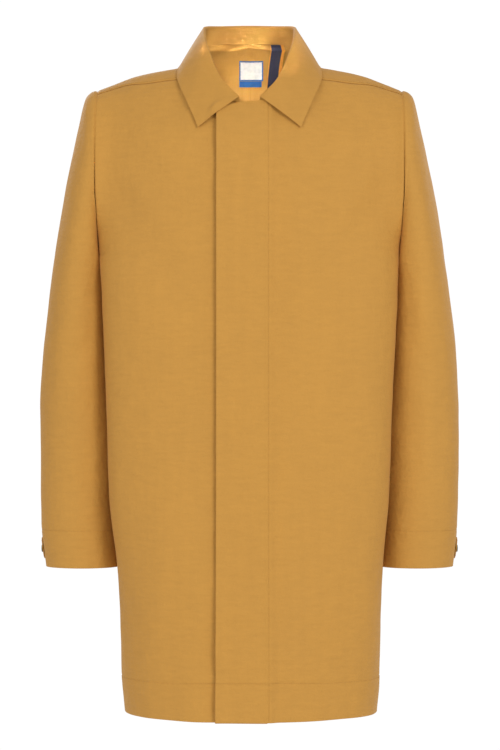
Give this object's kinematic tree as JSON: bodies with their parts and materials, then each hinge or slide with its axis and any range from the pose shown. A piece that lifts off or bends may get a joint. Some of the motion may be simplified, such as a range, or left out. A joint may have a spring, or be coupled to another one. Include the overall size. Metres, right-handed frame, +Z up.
{
  "type": "raincoat",
  "caption": "Long-sleeved raincoat with a fold-down collar, a hidden press-stud front that opens, hollow set-in sleeves that swing and buttoned cuff tabs.",
  "frame": {"origin": "neck centre on the shoulder line, where the wearer's or a form's shoulders hold the coat up", "axes": "+Z up along the body, -Y towards the front opening, +X towards the wearer's left sleeve"},
  "size_m": [0.5992, 0.2709, 0.987],
  "materials": {
    "coat_fabric": "matte",
    "facing_fabric": "matte",
    "navy_tape": "matte",
    "amber_edge": "matte",
    "label_weave": "matte",
    "blue_weave": "matte",
    "snap_metal": "satin"
  },
  "bodies": {
    "torso": {"back_left": "coat_fabric", "back_right": "coat_fabric", "side_front_left": "coat_fabric", "side_front_right": "coat_fabric", "hem_back_left": "facing_fabric", "hem_back_right": "facing_fabric", "hem_side_left": "facing_fabric", "hem_side_right": "facing_fabric", "collar_leaf_back": "coat_fabric", "collar_stand_back": "facing_fabric", "neck_facing_back": "facing_fabric", "centre_back_tape": "facing_fabric", "main_label": "label_weave", "size_tab": "blue_weave", "hanging_tape": "navy_tape", "hanging_tape_edge_inner": "amber_edge", "hanging_tape_edge_outer": "amber_edge", "shoulder_tape_left": "facing_fabric", "shoulder_tape_right": "facing_fabric", "side_seam_tape_left": "facing_fabric", "side_seam_tape_right": "facing_fabric", "pocket_bag_left": "facing_fabric", "pocket_bag_right": "facing_fabric"},
    "left_front": {"front_left": "coat_fabric", "fly_underlayer": "facing_fabric", "fly_socket_1": "snap_metal", "fly_socket_2": "snap_metal", "fly_socket_3": "snap_metal", "fly_socket_4": "snap_metal", "fly_socket_5": "snap_metal", "fly_socket_6": "snap_metal", "hem_front_left": "facing_fabric", "collar_leaf_left": "coat_fabric", "collar_stand_left": "facing_fabric"},
    "right_front": {"front_right": "coat_fabric", "front_facing_right": "facing_fabric", "fly_stud_1": "snap_metal", "fly_stud_2": "snap_metal", "fly_stud_3": "snap_metal", "fly_stud_4": "snap_metal", "fly_stud_5": "snap_metal", "fly_stud_6": "snap_metal", "hem_front_right": "facing_fabric", "collar_leaf_right": "coat_fabric", "collar_stand_right": "facing_fabric"},
    "left_sleeve": {"sleeve_top_left": "coat_fabric", "sleeve_under_left": "coat_fabric", "cuff_facing_left": "facing_fabric"},
    "left_cuff_tab": {"cuff_tab_left": "coat_fabric", "cuff_snap_cap_left": "snap_metal"},
    "right_sleeve": {"sleeve_top_right": "coat_fabric", "sleeve_under_right": "coat_fabric", "cuff_facing_right": "facing_fabric"},
    "right_cuff_tab": {"cuff_tab_right": "coat_fabric", "cuff_snap_cap_right": "snap_metal"}
  },
  "joints": [
    {"name": "left_front_open", "type": "hinge", "parent": "torso", "child": "left_front", "pos_m": [0.075, -0.1105, -0.06], "axis": [-0.0692, 0, 0.9976], "range_deg": [0, 50]},
    {"name": "right_front_open", "type": "hinge", "parent": "torso", "child": "right_front", "pos_m": [-0.075, -0.1105, -0.06], "axis": [-0.0692, 0, -0.9976], "range_deg": [0, 25]},
    {"name": "left_sleeve_swing", "type": "hinge", "parent": "torso", "child": "left_sleeve", "pos_m": [0.218, 0.0046, -0.16], "axis": [-1, 0, 0], "range_deg": [-10, 25]},
    {"name": "right_sleeve_swing", "type": "hinge", "parent": "torso", "child": "right_sleeve", "pos_m": [-0.218, 0.0046, -0.16], "axis": [-1, 0, 0], "range_deg": [-10, 25]},
    {"name": "left_cuff_tab_lift", "type": "hinge", "parent": "left_sleeve", "child": "left_cuff_tab", "pos_m": [0.237, 0.055, -0.695], "axis": [0, 0, 1], "range_deg": [0, 100]},
    {"name": "right_cuff_tab_lift", "type": "hinge", "parent": "right_sleeve", "child": "right_cuff_tab", "pos_m": [-0.237, 0.055, -0.695], "axis": [0, 0, -1], "range_deg": [0, 100]}
  ],
  "couplings": [
    {"joint": "right_front_open", "follows": "left_front_open", "ratio": 0.5}
  ]
}
